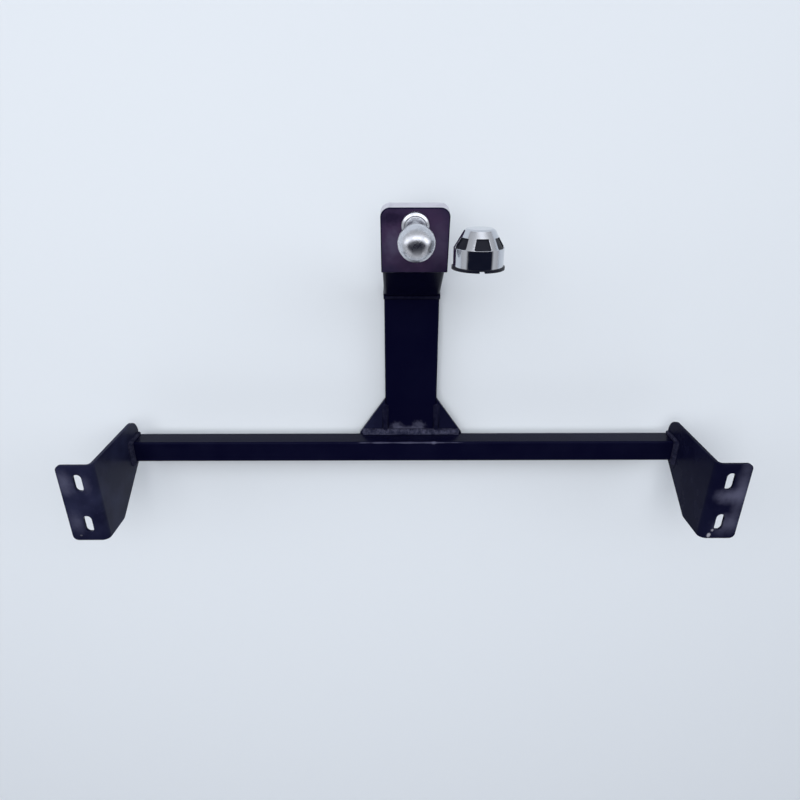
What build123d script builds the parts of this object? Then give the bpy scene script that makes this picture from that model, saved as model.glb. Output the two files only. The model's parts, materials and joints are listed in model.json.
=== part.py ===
"""A fixed towbar: a square crossbar between two bent brackets, a mitred draw tube, a ball plate and its ball.

Row frame, in millimetres: X across the vehicle, Y to the rear, Z up as fitted to the vehicle.
The origin is the middle of the bounding box, at the level that the draw tube lies on.
"""
from math import atan2, cos, radians, sin, tan
import os

from build123d import *

os.makedirs("parts", exist_ok=True)

# Crossbar: a square steel tube, closed at both ends by the brackets
crossbar_length = 1012.0
crossbar_size = 40.0
crossbar_wall = 3.0
crossbar_radius = 4.0

# Brackets: plate, bent once; the flange bolts up under the chassis rail
plate_thickness = 6.0
bend_inner_radius = 6.0
bracket_length = 146.0
bracket_rear = 32.0
bracket_height = 178.0
flange_width = 60.0
flange_corner_radius = 9.0
web_rear_radius = 27.0
web_foot_reach = 9.0
web_foot_height = 22.0
web_vertex_height = 114.0
web_vertex_radius = 12.0
slot_width = 14.0
slot_length = 32.0
slot_spacing = 80.0
slot_from_edge = 32.0

# Draw tube: a flat rectangular tube under the crossbar, mitred up to the ball plate
tube_width = 96.0
tube_depth = 30.0
tube_wall = 4.0
tube_radius = 5.0
tube_offset = 13.0
tube_lap = 50.0
bend_reach = 264.0
neck_angle = 57.0
neck_reach = 132.0
end_plate_thickness = 4.0

# Gussets: flat plates in the corners between the draw tube and the crossbar
gusset_width = 49.0
gusset_height = 71.0
gusset_thickness = 8.0
gusset_lap = 36.0

# Ball plate, tilted up to the rear
ball_plate_width = 98.0
ball_plate_length = 98.0
ball_plate_thickness = 20.0
ball_plate_tilt = 15.0
ball_plate_radius = 14.0
ball_plate_edge = 1.5
ball_plate_shelf = 1.0
ball_from_rear = 24.0

# Tow ball with its collar and shank, spring washer and nut
ball_diameter = 50.0
ball_height = 62.0
ball_neck_diameter = 27.0
ball_top_flat = 14.0
collar_diameter = 39.0
collar_height = 9.0
collar_edge = 1.2
neck_flare = 4.0
shank_diameter = 20.0
shank_clearance = 0.3
shank_end = 5.0
washer_diameter = 33.0
washer_thickness = 5.0
washer_gap = 2.5
washer_slant = 20.0
nut_across_flats = 30.0
nut_height = 18.0

# Weld beads
end_bead_side = 5.0
end_bead_height = 11.0
end_bead_reach = 5.0
base_bead = 9.0
lap_bead = 8.0
gusset_bead_width = 12.0
gusset_bead_height = 2.6
gusset_bead_stop = 13.0
seam_bead_height = 1.0
seam_bead_width = 6.0
seam_bead_front = 3.5
plate_bead = 13.0
rear_bead = 6.0
bead_toe = 0.6
bead_crown = 0.8

# Ball cap: a bright shell with windows over a dark liner, whose fins grip the ball
cap_diameter = 67.0
cap_top_diameter = 39.0
cap_height = 52.0
cap_lip_height = 3.5
cap_lip_diameter = 71.0
cap_cylinder_height = 24.0
cap_wall = 1.8
cap_edge = 2.0
cap_window_count = 6
cap_window_low = 22.5
cap_window_high = 15.5
cap_window_height = 15.5
cap_window_rise = 0.5
cap_window_radius = 1.6
cap_turn = 2.0
liner_clearance = 0.15
liner_wall = 2.0
liner_notch_width = 7.0
liner_notch_height = 2.4
fin_count = 12
fin_thickness = 1.8
fin_clearance = 0.4
cap_beside = 82.7
cap_forward = 33.0

# Directions of the neck and of the ball plate in the side view, as (Y, Z)
neck = (cos(radians(neck_angle)), sin(radians(neck_angle)))
along = (cos(radians(ball_plate_tilt)), sin(radians(ball_plate_tilt)))
normal = (-along[1], along[0])


def step(start, direction, distance):
    """A point of the side view, a distance from another one."""
    return (start[0] + direction[0] * distance, start[1] + direction[1] * distance)


def side_points(bar_rear):
    """Named points of the side view for a crossbar whose rear face is at this Y."""
    seam = (bar_rear + bend_reach, tube_depth)
    heel = step(seam, neck, neck_reach)
    corner = step(heel, along, ball_plate_shelf)
    seat = step(corner, along, ball_plate_length - ball_from_rear)
    face = step(seat, normal, ball_plate_thickness)
    return {"seam": seam, "heel": heel, "corner": corner, "seat": seat, "face": face,
            "rear": step(corner, along, ball_plate_length), "ball": step(face, normal, ball_height)}


def side_plane(x):
    """The side view at this X, with the row's Y and Z as its own axes."""
    return Plane(origin=(x, 0, 0), x_dir=(0, 1, 0), z_dir=(1, 0, 0))


# The crossbar's rear face stands where the bounding box is centred on the origin
bar_rear = -(side_points(0.0)["rear"][0] + bracket_rear - bracket_length) / 2
bar_front = bar_rear - crossbar_size
bar_foot = tube_depth
half_bar = crossbar_length / 2
bracket_front = bar_rear + bracket_rear - bracket_length
flange_top = bar_foot + bracket_height
tube_end = bar_rear - tube_lap
half_tube = tube_width / 2
at = side_points(bar_rear)

# Planes that several pieces share
mitre_plane = Plane(origin=(tube_offset, *at["seam"]), x_dir=(1, 0, 0),
                    z_dir=(0, cos(radians(neck_angle / 2)), sin(radians(neck_angle / 2))))
neck_plane = Plane(origin=(tube_offset, *at["seam"]), x_dir=(1, 0, 0), z_dir=(0, *neck))
under_plate = Plane(origin=(tube_offset, *at["seat"]), x_dir=(1, 0, 0), z_dir=(0, *normal))
tube_plane = Plane(origin=(tube_offset, tube_end, tube_depth), x_dir=(1, 0, 0), z_dir=(0, 1, 0))

# Crossbar
with BuildPart() as crossbar:
    with BuildSketch(side_plane(-half_bar)):
        with Locations((bar_rear - crossbar_size / 2, bar_foot + crossbar_size / 2)):
            RectangleRounded(crossbar_size, crossbar_size, crossbar_radius)
            inner_size = crossbar_size - 2 * crossbar_wall
            RectangleRounded(inner_size, inner_size, max(crossbar_radius - crossbar_wall, crossbar_wall / 4),
                             mode=Mode.SUBTRACT)
    extrude(amount=crossbar_length)

# Right bracket: the bent strip first, then its web is cut to shape and its slots are made
with BuildPart() as right_bracket:
    with BuildSketch(Plane(origin=(0, bracket_front, 0), x_dir=(-1, 0, 0), z_dir=(0, 1, 0))):
        with BuildLine():
            web_line = FilletPolyline((-half_bar, bar_foot), (-half_bar, flange_top),
                                      (-half_bar - flange_width, flange_top),
                                      radius=bend_inner_radius + plate_thickness)
            offset(web_line, amount=plate_thickness, side=Side.LEFT)
        make_face()
    extrude(amount=bracket_length)
    with BuildSketch(side_plane(half_bar)):
        with BuildLine():
            Polyline((bar_front - web_foot_reach, bar_foot),
                     (bar_front - web_foot_reach, bar_foot + web_foot_height),
                     (bracket_front, bar_foot + web_vertex_height), (bracket_front, bar_foot), close=True)
        make_face()
    extrude(amount=plate_thickness, mode=Mode.SUBTRACT)
    web_edges = right_bracket.edges().filter_by(Axis.X).filter_by(
        lambda edge: abs(edge.length - plate_thickness) < plate_thickness / 10)
    fillet(web_edges.group_by(Axis.Z)[0].sort_by(Axis.Y)[-1], web_rear_radius)
    fillet(web_edges.sort_by(Axis.Y)[0], web_vertex_radius)
    fillet(right_bracket.edges().filter_by(Axis.Z).group_by(Axis.X)[-1], flange_corner_radius)
    with BuildSketch(Plane.XY.offset(flange_top)):
        with Locations((half_bar + flange_width - slot_from_edge, bracket_front + bracket_length / 2)):
            with GridLocations(0, slot_spacing, 1, 2):
                SlotOverall(slot_length, slot_width, rotation=90)
    extrude(amount=-plate_thickness, mode=Mode.SUBTRACT)

# Left bracket: the mirror image
with BuildPart() as left_bracket:
    add(mirror(right_bracket.part, about=Plane.YZ, mode=Mode.PRIVATE))


def tube_profile(hollow):
    """The draw tube's section, hung under the origin of the plane that it is drawn on."""
    with Locations((0, tube_depth / 2)):
        RectangleRounded(tube_width, tube_depth, tube_radius)
        if hollow:
            RectangleRounded(tube_width - 2 * tube_wall, tube_depth - 2 * tube_wall,
                             max(tube_radius - tube_wall, tube_wall / 4), mode=Mode.SUBTRACT)


# Draw tube and neck tube, cut on one mitre plane
mitre_run = tube_depth * tan(radians(neck_angle / 2))
with BuildPart() as draw_tube:
    with BuildSketch(tube_plane):
        tube_profile(hollow=True)
    extrude(amount=tube_lap + bend_reach + 2 * mitre_run)
    split(bisect_by=mitre_plane, keep=Keep.BOTTOM)

neck_run = tube_depth / tan(radians(neck_angle - ball_plate_tilt))
with BuildPart() as neck_tube:
    with BuildSketch(neck_plane.offset(-2 * mitre_run)):
        tube_profile(hollow=True)
    extrude(amount=2 * mitre_run + neck_reach + 2 * neck_run)
    split(bisect_by=mitre_plane, keep=Keep.TOP)
    split(bisect_by=under_plate, keep=Keep.BOTTOM)

# End plate, welded over the draw tube's open end under the crossbar
with BuildPart() as tube_end_plate:
    with BuildSketch(tube_plane):
        tube_profile(hollow=False)
    extrude(amount=-end_plate_thickness)

# Gussets
with BuildPart() as right_gusset:
    with BuildSketch(Plane.XY.offset(tube_depth)):
        inside = tube_offset + half_tube
        with BuildLine():
            Polyline((inside, bar_rear - gusset_lap), (inside + gusset_width, bar_rear - gusset_lap),
                     (inside + gusset_width, bar_rear), (inside, bar_rear + gusset_height), close=True)
        make_face()
    extrude(amount=-gusset_thickness)

tube_middle = Plane(origin=(tube_offset, 0, 0), x_dir=(0, 1, 0), z_dir=(1, 0, 0))
with BuildPart() as left_gusset:
    add(mirror(right_gusset.part, about=tube_middle, mode=Mode.PRIVATE))

# Ball plate: its rear corners are rounded, and a hole takes the ball's shank
plate_axis = Axis((tube_offset, *at["seat"]), (0, *normal))
with BuildPart() as ball_plate:
    with BuildSketch(under_plate):
        with Locations((0, ball_from_rear - ball_plate_length / 2)):
            blank = Rectangle(ball_plate_width, ball_plate_length)
        fillet(blank.vertices().group_by(Axis.Y)[-1], ball_plate_radius)
        Circle(shank_diameter / 2 + shank_clearance, mode=Mode.SUBTRACT)
    extrude(amount=ball_plate_thickness)
    chamfer(ball_plate.faces().sort_by(plate_axis)[-1].outer_wire().edges(), ball_plate_edge)

# Tow ball, turned in one piece with its neck, collar and shank
ball_radius = ball_diameter / 2
ball_neck = ball_neck_diameter / 2
shank_length = ball_plate_thickness + washer_thickness + nut_height + shank_end
neck_top = ball_height - (ball_radius ** 2 - ball_neck ** 2) ** 0.5
flat_height = ball_height + (ball_radius ** 2 - (ball_top_flat / 2) ** 2) ** 0.5
ball_plane = Plane(origin=(tube_offset, *at["face"]), x_dir=(1, 0, 0), z_dir=(0, -normal[1], normal[0]))
with BuildPart() as tow_ball:
    with BuildSketch(ball_plane) as ball_profile:
        with BuildLine():
            Polyline((ball_neck, neck_top), (ball_neck, collar_height), (collar_diameter / 2, collar_height),
                     (collar_diameter / 2, 0), (shank_diameter / 2, 0), (shank_diameter / 2, -shank_length),
                     (0, -shank_length), (0, flat_height), (ball_top_flat / 2, flat_height))
            ThreePointArc((ball_neck, neck_top), (ball_radius, ball_height), (ball_top_flat / 2, flat_height))
        make_face()
        chamfer(ball_profile.vertices().sort_by_distance((ball_neck, collar_height))[0], neck_flare)
        for corner in ((collar_diameter / 2, collar_height), (shank_diameter / 2, -shank_length)):
            chamfer(ball_profile.vertices().sort_by_distance(corner)[0], collar_edge)
    revolve(axis=plate_axis)

# Spring washer with its slit, and the nut under it
with BuildPart() as spring_washer:
    with BuildSketch(under_plate):
        Circle(washer_diameter / 2)
        Circle(shank_diameter / 2 + shank_clearance, mode=Mode.SUBTRACT)
        with Locations((washer_diameter / 2, 0)):
            Rectangle(washer_diameter, washer_gap, rotation=washer_slant, mode=Mode.SUBTRACT)
    extrude(amount=-washer_thickness)

nut_seat = under_plate.offset(-washer_thickness)
nut_corner = nut_across_flats / 3 ** 0.5
nut_chamfer = (nut_corner - nut_across_flats / 2) * tan(radians(30))
with BuildPart() as ball_nut:
    with BuildSketch(nut_seat):
        RegularPolygon(nut_across_flats / 2, 6, major_radius=False)
        Circle(shank_diameter / 2 + shank_clearance, mode=Mode.SUBTRACT)
    extrude(amount=-nut_height)
    with BuildSketch(Plane(origin=nut_seat.origin, x_dir=(1, 0, 0), z_dir=ball_plane.z_dir)):
        with BuildLine():
            Polyline((0, 0), (nut_across_flats / 2, 0), (nut_corner, -nut_chamfer),
                     (nut_corner, nut_chamfer - nut_height), (nut_across_flats / 2, -nut_height),
                     (0, -nut_height), close=True)
        make_face()
    revolve(axis=plate_axis, mode=Mode.INTERSECT)


def fillet_bead(plane, corner, leg, toward):
    """A fillet weld's section: its legs run from the corner along `toward` and up, and its face is crowned."""
    across, up = corner
    crown = leg / 2 + bead_crown
    with BuildSketch(plane) as section:
        with BuildLine():
            Polyline((across, up + leg), corner, (across + toward * leg, up))
            ThreePointArc((across + toward * leg, up), (across + toward * crown, up + crown), (across, up + leg))
        make_face()
    return section.sketch


# Weld beads round three sides of each end of the crossbar
bar_middle = (bar_rear - crossbar_size / 2, bar_foot + crossbar_size / 2)
with BuildPart() as right_end_weld:
    for reach, side, height in ((0, end_bead_side, end_bead_height), (end_bead_reach, bead_toe, bead_toe)):
        with BuildSketch(side_plane(half_bar - reach)) as bead_outline:
            with Locations(bar_middle):
                Rectangle(crossbar_size + 2 * side, crossbar_size + 2 * height)
            chamfer(bead_outline.vertices(), side)
    loft(ruled=True)
    with BuildSketch(side_plane(half_bar)):
        with Locations(bar_middle):
            RectangleRounded(crossbar_size, crossbar_size, crossbar_radius)
    extrude(amount=-end_bead_reach, mode=Mode.SUBTRACT)
    split(bisect_by=Plane.XY.offset(bar_foot + crossbar_radius), keep=Keep.TOP)

with BuildPart() as left_end_weld:
    add(mirror(right_end_weld.part, about=Plane.YZ, mode=Mode.PRIVATE))

# The long bead between the crossbar's rear face and the draw tube and gussets under it
base_run = tube_width + 2 * gusset_width * (1 - base_bead / gusset_height)
with BuildPart() as base_weld:
    extrude(fillet_bead(side_plane(tube_offset - base_run / 2), (bar_rear, tube_depth), base_bead, 1),
            amount=base_run)

# The bead in front of the crossbar, on the end of the draw tube
weld_side = side_plane(tube_offset - half_tube + tube_radius)
with BuildPart() as lap_weld:
    extrude(fillet_bead(weld_side, (bar_front, tube_depth), lap_bead, -1), amount=tube_width - 2 * tube_radius)

# A bead along each side of the draw tube, over the joint with its gusset
with BuildPart() as right_gusset_weld:
    with BuildSketch(Plane(origin=(tube_offset + half_tube, bar_rear + base_bead, tube_depth),
                           x_dir=(-1, 0, 0), z_dir=(0, 1, 0))):
        with BuildLine():
            Line((-gusset_bead_width / 2, 0), (gusset_bead_width / 2, 0))
            ThreePointArc((gusset_bead_width / 2, 0), (0, gusset_bead_height), (-gusset_bead_width / 2, 0))
        make_face()
    extrude(amount=gusset_height - base_bead - gusset_bead_stop)

with BuildPart() as left_gusset_weld:
    add(mirror(right_gusset_weld.part, about=tube_middle, mode=Mode.PRIVATE))

# The draw tube and its neck as solid bars, which the mitre's bead is cut round
with BuildPart() as tube_core:
    with BuildSketch(tube_plane):
        tube_profile(hollow=False)
    extrude(amount=tube_lap + bend_reach + 2 * mitre_run)
    split(bisect_by=mitre_plane, keep=Keep.BOTTOM)
with BuildPart() as neck_core:
    with BuildSketch(neck_plane.offset(-2 * mitre_run)):
        tube_profile(hollow=False)
    extrude(amount=2 * mitre_run + neck_reach)
    split(bisect_by=mitre_plane, keep=Keep.TOP)

# The bead over the mitre, across the upper face and down both sides
seam_reach = tube_depth / cos(radians(neck_angle / 2)) - tube_radius
with BuildPart() as seam_weld:
    with BuildSketch(mitre_plane):
        with Locations((0, (seam_reach - seam_bead_front) / 2)):
            Rectangle(tube_width + 2 * seam_bead_height, seam_reach + seam_bead_front)
    extrude(amount=seam_bead_width / 2, both=True)
    add(tube_core.part, mode=Mode.SUBTRACT)
    add(neck_core.part, mode=Mode.SUBTRACT)

# The heavy bead between the neck's upper face and the ball plate's front edge
with BuildPart() as plate_front_weld:
    low = step(at["heel"], neck, -plate_bead)
    high = step(at["corner"], normal, plate_bead)
    crown = step(((low[0] + high[0]) / 2, (low[1] + high[1]) / 2), along, -2 * bead_crown)
    with BuildSketch(weld_side):
        with BuildLine():
            Polyline(low, at["heel"], at["corner"], high)
            ThreePointArc(high, crown, low)
        make_face()
    extrude(amount=tube_width - 2 * tube_radius)

# The bead between the neck's rear wall and the underside of the ball plate
with BuildPart() as plate_rear_weld:
    root = step(at["heel"], along, tube_depth / sin(radians(neck_angle - ball_plate_tilt)))
    low = step(root, neck, -rear_bead)
    high = step(root, along, rear_bead)
    crown = ((low[0] + high[0]) / 2 + bead_crown, (low[1] + high[1]) / 2 - bead_crown)
    with BuildSketch(weld_side):
        with BuildLine():
            Polyline(low, root, high)
            ThreePointArc(high, crown, low)
        make_face()
    extrude(amount=tube_width - 2 * tube_radius)

# Ball cap, lifted off and standing beside the ball: its axis runs to the rear, its open end faces forward
cap_centre = (tube_offset + cap_beside, at["ball"][0] - cap_forward, at["ball"][1])
cap_axis = Axis(cap_centre, (0, 1, 0))
cap_section = Plane(origin=cap_centre, x_dir=(1, 0, 0), z_dir=(0, 0, 1))
cap_mouth = Plane(origin=cap_centre, x_dir=(1, 0, 0), z_dir=(0, 1, 0))
shoulder = cap_lip_height + cap_cylinder_height
cone_slope = atan2((cap_diameter - cap_top_diameter) / 2, cap_height - shoulder)


def cap_outline(shrink, foot):
    """Half of the cap's outline, drawn this far inside its outer face, from this height up."""
    radius = cap_diameter / 2
    bend = (radius - shrink, shoulder + (shrink - shrink / cos(cone_slope)) / tan(cone_slope))
    top = cap_height - shrink
    edge = (radius - (top - shoulder) * tan(cone_slope) - shrink / cos(cone_slope), top)
    with BuildSketch(cap_section) as section:
        with BuildLine():
            Polyline((0, foot), (radius - shrink, foot), bend, edge, (0, top), close=True)
        make_face()
    return section.sketch


window_foot = shoulder + cap_window_rise
window_head = window_foot + cap_window_height * cos(cone_slope)
window_turns = [radians(cap_turn + 360 / cap_window_count * count) for count in range(cap_window_count)]
window_planes = [Plane(origin=cap_centre, x_dir=(cos(turn), 0, -sin(turn)), z_dir=(sin(turn), 0, cos(turn)))
                 for turn in window_turns]
with BuildPart() as cap_shell:
    revolve(cap_outline(0, cap_lip_height), axis=cap_axis)
    chamfer(cap_shell.edges().sort_by(cap_axis)[-1], cap_edge)
    revolve(cap_outline(cap_wall, cap_lip_height), axis=cap_axis, mode=Mode.SUBTRACT)
    with BuildSketch(*window_planes):
        with BuildLine():
            Polyline((-cap_window_low / 2, window_foot), (cap_window_low / 2, window_foot),
                     (cap_window_high / 2, window_head), (-cap_window_high / 2, window_head), close=True)
        window = make_face()
        fillet(window.vertices(), cap_window_radius)
    extrude(amount=cap_diameter, mode=Mode.SUBTRACT)

# Liner: a cup inside the shell, with the cap's lip round its mouth and fins that grip the ball
liner_face = cap_wall + liner_clearance
with BuildPart() as cap_liner:
    with BuildSketch(cap_mouth):
        Circle(cap_lip_diameter / 2)
    extrude(amount=cap_lip_height)
    revolve(cap_outline(liner_face, 0), axis=cap_axis)
    revolve(cap_outline(liner_face + liner_wall, 0), axis=cap_axis, mode=Mode.SUBTRACT)
    fin_inside = ball_radius + fin_clearance
    fin_outside = cap_diameter / 2 - liner_face - liner_wall / 2
    with BuildSketch(cap_mouth.offset(cap_lip_height)):
        with PolarLocations((fin_inside + fin_outside) / 2, fin_count):
            Rectangle(fin_outside - fin_inside, fin_thickness)
    extrude(amount=shoulder - cap_lip_height)
    with BuildSketch(window_planes[0]):
        Rectangle(liner_notch_width, 2 * liner_notch_height)
    extrude(amount=cap_lip_diameter, mode=Mode.SUBTRACT)

pieces = {
    "crossbar": crossbar, "left_bracket": left_bracket, "right_bracket": right_bracket,
    "draw_tube": draw_tube, "neck_tube": neck_tube, "tube_end_plate": tube_end_plate,
    "left_gusset": left_gusset, "right_gusset": right_gusset, "ball_plate": ball_plate,
    "tow_ball": tow_ball, "spring_washer": spring_washer, "ball_nut": ball_nut,
    "left_end_weld": left_end_weld, "right_end_weld": right_end_weld, "base_weld": base_weld,
    "lap_weld": lap_weld, "left_gusset_weld": left_gusset_weld, "right_gusset_weld": right_gusset_weld,
    "seam_weld": seam_weld, "plate_front_weld": plate_front_weld, "plate_rear_weld": plate_rear_weld,
    "cap_shell": cap_shell, "cap_liner": cap_liner,
}
for label, piece in pieces.items():
    piece.part.label = label
    export_step(piece.part, f"parts/{label}.step")
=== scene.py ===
"""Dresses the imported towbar: enamelled steel, rippled weld beads, a turned ball and a chromed ball cap.

The object lies on a pale floor and is seen from the photograph's place. Lengths are in metres, in the part's
frame: X across the vehicle, Y to its rear, Z up as fitted.
"""

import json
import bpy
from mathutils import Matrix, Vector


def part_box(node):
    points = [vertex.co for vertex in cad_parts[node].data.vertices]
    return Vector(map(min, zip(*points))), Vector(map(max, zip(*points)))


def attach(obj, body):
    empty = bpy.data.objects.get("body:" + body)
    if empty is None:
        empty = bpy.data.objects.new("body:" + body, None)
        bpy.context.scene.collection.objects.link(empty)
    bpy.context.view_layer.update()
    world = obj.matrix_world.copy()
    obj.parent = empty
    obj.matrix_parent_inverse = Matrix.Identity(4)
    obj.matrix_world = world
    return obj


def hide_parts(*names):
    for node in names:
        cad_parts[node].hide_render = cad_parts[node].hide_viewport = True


bl_info = {
    "name": "Towbar finishes",
    "version": (1, 0, 0),
    "blender": (4, 5, 0),
    "location": "View3D > Sidebar > Towbar",
    "description": "Gives a packed towbar its paint, weld beads, turned ball, chromed cap and studio",
    "category": "Object",
}

from math import acos, asin, cos, degrees, pi, radians, sin, sqrt, tan

import bmesh
import bpy
from bpy.props import FloatProperty, FloatVectorProperty, IntProperty, PointerProperty
from bpy.types import Operator, Panel, PropertyGroup
from mathutils import Matrix, Vector

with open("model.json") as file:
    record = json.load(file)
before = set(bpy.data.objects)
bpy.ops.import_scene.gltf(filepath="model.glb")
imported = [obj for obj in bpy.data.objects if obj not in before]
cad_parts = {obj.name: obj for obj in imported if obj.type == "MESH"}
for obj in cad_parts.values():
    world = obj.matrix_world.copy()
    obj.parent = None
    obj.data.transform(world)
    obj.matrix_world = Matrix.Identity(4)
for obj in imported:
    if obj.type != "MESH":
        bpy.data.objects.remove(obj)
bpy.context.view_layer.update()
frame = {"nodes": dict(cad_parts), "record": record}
MM = 0.001
# Sockets of a Mix node for colours
MIX_A, MIX_B, MIX_RESULT = 6, 7, 2


def linear(code):
    """The linear colour of an sRGB hex code, with alpha."""
    values = [int(code[at:at + 2], 16) / 255 for at in (1, 3, 5)]
    return [v / 12.92 if v <= 0.04045 else ((v + 0.055) / 1.055) ** 2.4 for v in values] + [1.0]


# What the frame says: the nodes' corners, the ball's centre and the direction of its shank
BOX = {name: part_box(name) for name in frame["nodes"]}
BAR_LOW, BAR_HIGH = BOX["crossbar"]
TUBE_LOW, TUBE_HIGH = BOX["draw_tube"]
ball_mount = next(mount for mount in frame["record"]["mounts"] if mount["name"] == "tow_ball")
BALL_CENTRE = Vector(ball_mount["pos_m"])
SHANK_UP = Vector(ball_mount["axis"]).normalized()
PLATE_ALONG = Vector((0, SHANK_UP.z, -SHANK_UP.y))
# The neck's rise from level, how far behind the crossbar it starts, and the mitre's point on the tube
NECK_ANGLE = radians(57)
NECK_START = 264 * MM
SEAM = Vector((0, BAR_HIGH.y + NECK_START, TUBE_HIGH.z))


def colour_setting(name, description, code):
    """A colour that the user can change, from its sRGB hex code."""
    return FloatVectorProperty(name=name, description=description, subtype="COLOR", size=4,
                               default=linear(code), min=0, max=1)


def length_setting(name, description, default):
    """A length that the user can change."""
    return FloatProperty(name=name, description=description, default=default, min=0, subtype="DISTANCE",
                         unit="LENGTH")


def angle_setting(name, description, default):
    """An angle that the user can change, from its degrees."""
    return FloatProperty(name=name, description=description, default=radians(default), subtype="ANGLE",
                         unit="ROTATION")


class PaintSettings(PropertyGroup):
    """Black enamel over the welded steel."""
    colour: colour_setting("Paint", "Black enamel with a blue cast", "#06061D")
    rubbed: colour_setting("Rubbed paint", "The ball plate's rubbed and faded enamel", "#3F304A")
    # Dust and painted sheen: the bluish reflection of the floor in the enamel is painted into this colour
    dust_and_painted_sheen: colour_setting("Film", "Thin bluish film of dust on the enamel", "#5C6288")
    dust: colour_setting("Dust", "Thick dust, slag and scuffs on the enamel", "#6A6B83")
    bare: colour_setting("Bare steel", "Chipped spots and the plate's cut edge", "#BCBCC6")
    sheen: colour_setting("Gloss tint", "Blue cast of what the enamel mirrors", "#B4BEF0")
    edge_radius: length_setting("Edge radius", "Rounding of the cut plates' edges", 0.7 * MM)


class WeldSettings(PropertyGroup):
    """Ripples of the weld beads."""
    pitch: FloatProperty(name="Ripple pitch", description="From one ripple of a bead to the next",
                         default=3.0 * MM, min=0.5 * MM, subtype="DISTANCE", unit="LENGTH")
    height: length_setting("Ripple height", "How far a ripple stands out of the bead", 1.3 * MM)
    lean: angle_setting("Ripple lean", "How far the ripples lie back over one another", 32)
    seed: IntProperty(name="Seed", description="Seed of the ripples' irregular sizes", default=7)


class BallSettings(PropertyGroup):
    """The turned tow ball, its washer and its nut."""
    diameter: length_setting("Ball", "Diameter of the ball", 50 * MM)
    height: length_setting("Ball height", "From the plate up to the ball's centre", 62 * MM)
    neck: length_setting("Neck", "Diameter of the neck under the ball", 27 * MM)
    collar: length_setting("Collar", "Diameter of the collar on the plate", 39 * MM)
    collar_height: length_setting("Collar height", "Height of the collar", 9 * MM)
    flat: length_setting("Flat", "Diameter of the flat on top of the ball", 14 * MM)
    shank: length_setting("Shank", "Diameter of the threaded shank", 20 * MM)
    shank_length: length_setting("Shank length", "From the plate's face down", 48 * MM)
    thread_pitch: length_setting("Thread pitch", "Of the M20 thread", 2.5 * MM)
    thread_length: length_setting("Thread length", "From the shank's end up", 14 * MM)
    edge_radius: length_setting("Edge radius", "Rounding of the washer's and nut's edges", 0.3 * MM)
    steel: colour_setting("Steel", "Turned and plated steel", "#D0D2D8")
    smear: colour_setting("Smears", "Old grease on the steel", "#8A8C94")


class CapSettings(PropertyGroup):
    """The ball cap's shell and liner."""
    chrome: colour_setting("Chrome", "Bright plating of the shell", "#CACDD3")
    liner: colour_setting("Liner", "Moulded polyethylene of the liner", "#0A0C1A")
    edge_radius: length_setting("Edge radius", "Rounding of the pressed shell's edges", 0.4 * MM)


class StageSettings(PropertyGroup):
    """Floor, light and camera."""
    floor: colour_setting("Floor", "Pale floor", "#DEE4EA")
    floor_reach: length_setting("Floor reach", "From the middle of the floor to its edges", 6.0)
    floor_gap: length_setting("Floor gap", "From the towbar down to the floor", 0.5 * MM)
    walls: colour_setting("Walls", "Pale walls of the room", "#EDEFF4")
    ceiling: colour_setting("Ceiling", "Dark middle of the ceiling", "#1C1F30")
    window: FloatProperty(name="Window", description="How much brighter than the wall the window is",
                          default=2.4, min=0)
    lamp: FloatProperty(name="Lamp", description="Power of the soft lamp", default=70, min=0, unit="POWER")
    camera_place: FloatVectorProperty(
        name="Camera", description="From the crossbar's upper rear edge, in the towbar's middle", size=3,
        default=(-0.0131, 0.50957, 0.95349), subtype="TRANSLATION", unit="LENGTH")
    focal_length: FloatProperty(name="Focal length", description="Of the lens, in millimetres",
                                default=26.195, min=1, subtype="DISTANCE_CAMERA", unit="CAMERA")
    sensor: FloatProperty(name="Sensor", description="Width of the sensor, in millimetres", default=36, min=1,
                          subtype="DISTANCE_CAMERA", unit="CAMERA")
    tilt: angle_setting("Tilt", "From straight down, towards the vehicle's front", 23.95)
    turn: angle_setting("Turn", "To the right", 0.3)
    roll: angle_setting("Roll", "Anticlockwise", -0.107)


def add_node(tree, kind, inputs=None, **settings):
    """Adds a node with its settings. An input is a value, or the output that feeds it."""
    made = tree.nodes.new(kind)
    for name, value in settings.items():
        setattr(made, name, value)
    for name, value in (inputs or {}).items():
        if isinstance(value, bpy.types.NodeSocket):
            tree.links.new(value, made.inputs[name])
        else:
            made.inputs[name].default_value = value
    return made


def new_material(name):
    """An empty material, with its tree."""
    made = bpy.data.materials.new(name)
    made.use_nodes = True
    made.node_tree.nodes.clear()
    return made, made.node_tree


def spot(tree, place, centre, radii, soft):
    """How far a spot covers, from 0 to 1. Its outline fades over the share soft and is broken by noise."""
    offset = add_node(tree, "ShaderNodeVectorMath", {0: place, 1: centre}, operation="SUBTRACT")
    share = add_node(tree, "ShaderNodeVectorMath", {0: offset.outputs["Vector"], 1: radii},
                     operation="DIVIDE")
    away = add_node(tree, "ShaderNodeVectorMath", {0: share.outputs["Vector"]}, operation="LENGTH")
    # The noise's waves are a third as long as the spot, and break a hard outline more than a soft one
    ragged = add_node(tree, "ShaderNodeTexNoise", {"Vector": place, "Scale": 3 / max(radii), "Detail": 4.0})
    uneven = 3.2 - 2.6 * soft
    edge = add_node(tree, "ShaderNodeMath", {0: ragged.outputs["Fac"], 1: uneven, 2: 1 - uneven / 2},
                    operation="MULTIPLY_ADD")
    near = add_node(tree, "ShaderNodeMath", {0: edge.outputs["Value"], 1: away.outputs["Value"]},
                    operation="SUBTRACT")
    return add_node(tree, "ShaderNodeMapRange", {"Value": near.outputs["Value"], "From Max": soft},
                    interpolation_type="SMOOTHSTEP").outputs["Result"]


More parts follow.
